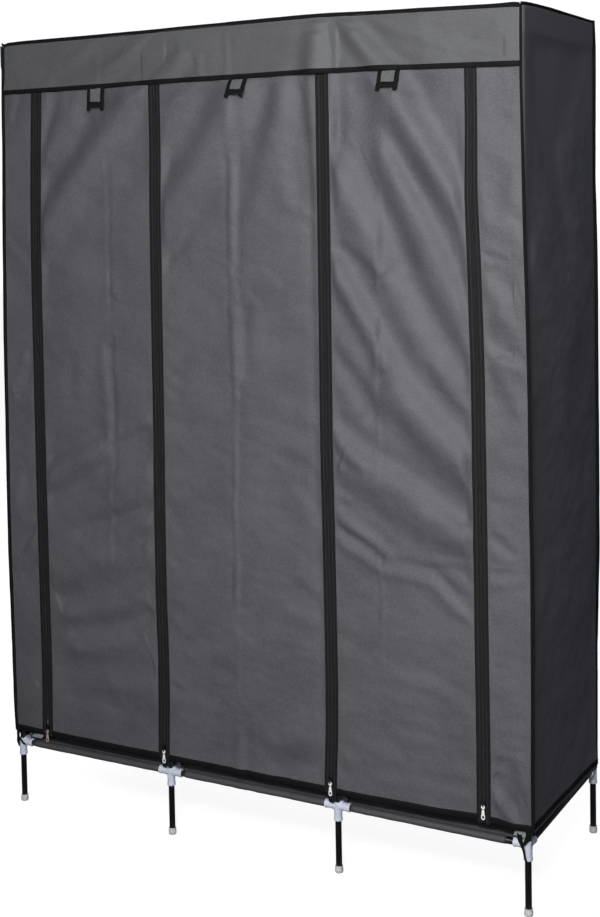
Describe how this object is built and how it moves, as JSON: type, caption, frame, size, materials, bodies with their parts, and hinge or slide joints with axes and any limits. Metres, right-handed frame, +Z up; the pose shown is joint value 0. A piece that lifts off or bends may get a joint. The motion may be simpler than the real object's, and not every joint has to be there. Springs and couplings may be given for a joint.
{
  "type": "portable fabric wardrobe",
  "caption": "Free-standing wardrobe: a frame of thin steel tubes in plastic connectors under a grey cloth cover with zipped roll-up doors, a hanging rail and a cloth shelf.",
  "frame": {"origin": "on the floor, in the middle of the outer box", "axes": "+X to the wardrobe's right as seen from the front, +Y from the front to the back, +Z up"},
  "size_m": [1.252, 0.457, 1.75],
  "materials": {
    "tube_black": "satin",
    "connector_plastic": "satin",
    "foot_cap_plastic": "satin",
    "cloth_grey": "matte",
    "cloth_shelf": "matte",
    "cloth_trim_black": "matte",
    "zip_steel": "satin"
  },
  "bodies": {
    "root": {"foot_cap_front_left": "foot_cap_plastic", "post_front_left": "tube_black", "bottom_connector_front_left": "connector_plastic", "foot_cap_front_mid_left": "foot_cap_plastic", "post_front_mid_left": "tube_black", "bottom_connector_front_mid_left": "connector_plastic", "foot_cap_front_mid_right": "foot_cap_plastic", "post_front_mid_right": "tube_black", "bottom_connector_front_mid_right": "connector_plastic", "foot_cap_front_right": "foot_cap_plastic", "post_front_right": "tube_black", "bottom_connector_front_right": "connector_plastic", "foot_cap_back_left": "foot_cap_plastic", "post_back_left": "tube_black", "bottom_connector_back_left": "connector_plastic", "foot_cap_back_mid_left": "foot_cap_plastic", "post_back_mid_left": "tube_black", "bottom_connector_back_mid_left": "connector_plastic", "foot_cap_back_mid_right": "foot_cap_plastic", "post_back_mid_right": "tube_black", "bottom_connector_back_mid_right": "connector_plastic", "foot_cap_back_right": "foot_cap_plastic", "post_back_right": "tube_black", "bottom_connector_back_right": "connector_plastic", "bottom_front_rail_left": "tube_black", "bottom_front_rail_middle": "tube_black", "bottom_front_rail_right": "tube_black", "bottom_back_rail_left": "tube_black", "bottom_back_rail_middle": "tube_black", "bottom_back_rail_right": "tube_black", "bottom_side_rail_left": "tube_black", "bottom_side_rail_mid_left": "tube_black", "bottom_side_rail_mid_right": "tube_black", "bottom_side_rail_right": "tube_black", "top_front_rail": "tube_black", "top_back_rail": "tube_black", "hanging_rail": "tube_black", "top_cross_member_left": "connector_plastic", "top_cross_member_mid_left": "connector_plastic", "top_cross_member_mid_right": "connector_plastic", "top_cross_member_right": "connector_plastic", "bottom_shelf_cloth": "cloth_shelf", "cover_roof_and_back": "cloth_grey", "cover_left_side": "cloth_grey", "cover_right_side": "cloth_grey", "cover_front_surround": "cloth_grey"},
    "zip_slider_left_edge": {"zip_slider_left_edge": "zip_steel"},
    "zip_pull_left_edge": {"zip_pull_left_edge": "zip_steel"},
    "zip_slider_mid_left": {"zip_slider_mid_left": "zip_steel"},
    "zip_pull_mid_left": {"zip_pull_mid_left": "zip_steel"},
    "zip_slider_mid_right": {"zip_slider_mid_right": "zip_steel"},
    "zip_pull_mid_right": {"zip_pull_mid_right": "zip_steel"},
    "zip_slider_right_edge": {"zip_slider_right_edge": "zip_steel"},
    "zip_pull_right_edge": {"zip_pull_right_edge": "zip_steel"},
    "door_left": {"door_left": "cloth_grey"},
    "door_middle": {"door_middle": "cloth_grey"},
    "door_right": {"door_right": "cloth_grey"},
    "roll_tab_left": {"roll_tab_left": "cloth_trim_black"},
    "roll_tab_middle": {"roll_tab_middle": "cloth_trim_black"},
    "roll_tab_right": {"roll_tab_right": "cloth_trim_black"}
  },
  "joints": [
    {"name": "zip_left_edge_slide", "type": "slide", "parent": "root", "child": "zip_slider_left_edge", "axis": [0.0068, 0, 1], "range_m": [0, 1.438]},
    {"name": "zip_left_edge_pull_swing", "type": "hinge", "parent": "zip_slider_left_edge", "child": "zip_pull_left_edge", "pos_m": [-0.53388, -0.2097, 0.1848], "axis": [-1, 0, 0], "range_deg": [0, 140]},
    {"name": "zip_mid_left_slide", "type": "slide", "parent": "root", "child": "zip_slider_mid_left", "axis": [0.0048, 0, 1], "range_m": [0, 1.432]},
    {"name": "zip_mid_left_pull_swing", "type": "hinge", "parent": "zip_slider_mid_left", "child": "zip_pull_mid_left", "pos_m": [-0.21389, -0.2097, 0.1908], "axis": [-1, 0, 0], "range_deg": [0, 140]},
    {"name": "zip_mid_right_slide", "type": "slide", "parent": "root", "child": "zip_slider_mid_right", "axis": [0.0027, 0, 1], "range_m": [0, 1.43]},
    {"name": "zip_mid_right_pull_swing", "type": "hinge", "parent": "zip_slider_mid_right", "child": "zip_pull_mid_right", "pos_m": [0.19507, -0.2097, 0.1928], "axis": [-1, 0, 0], "range_deg": [0, 140]},
    {"name": "zip_right_edge_slide", "type": "slide", "parent": "root", "child": "zip_slider_right_edge", "axis": [-0.0075, 0, 1], "range_m": [0, 1.416]},
    {"name": "zip_right_edge_pull_swing", "type": "hinge", "parent": "zip_slider_right_edge", "child": "zip_pull_right_edge", "pos_m": [0.52971, -0.2097, 0.2068], "axis": [-1, 0, 0], "range_deg": [0, 140]},
    {"name": "door_left_roll_up", "type": "slide", "parent": "root", "child": "door_left", "axis": [0, 0, 1], "range_m": [0, 1.37], "deforming": ["door_left"]},
    {"name": "door_middle_roll_up", "type": "slide", "parent": "root", "child": "door_middle", "axis": [0, 0, 1], "range_m": [0, 1.37], "deforming": ["door_middle"]},
    {"name": "door_right_roll_up", "type": "slide", "parent": "root", "child": "door_right", "axis": [0, 0, 1], "range_m": [0, 1.37], "deforming": ["door_right"]},
    {"name": "roll_tab_left_lift", "type": "hinge", "parent": "root", "child": "roll_tab_left", "pos_m": [-0.354, -0.208, 1.641], "axis": [-1, 0, 0], "range_deg": [0, 150]},
    {"name": "roll_tab_middle_lift", "type": "hinge", "parent": "root", "child": "roll_tab_middle", "pos_m": [0.001, -0.208, 1.641], "axis": [-1, 0, 0], "range_deg": [0, 130]},
    {"name": "roll_tab_right_lift", "type": "hinge", "parent": "root", "child": "roll_tab_right", "pos_m": [0.346, -0.208, 1.641], "axis": [-1, 0, 0], "range_deg": [0, 130]}
  ]
}
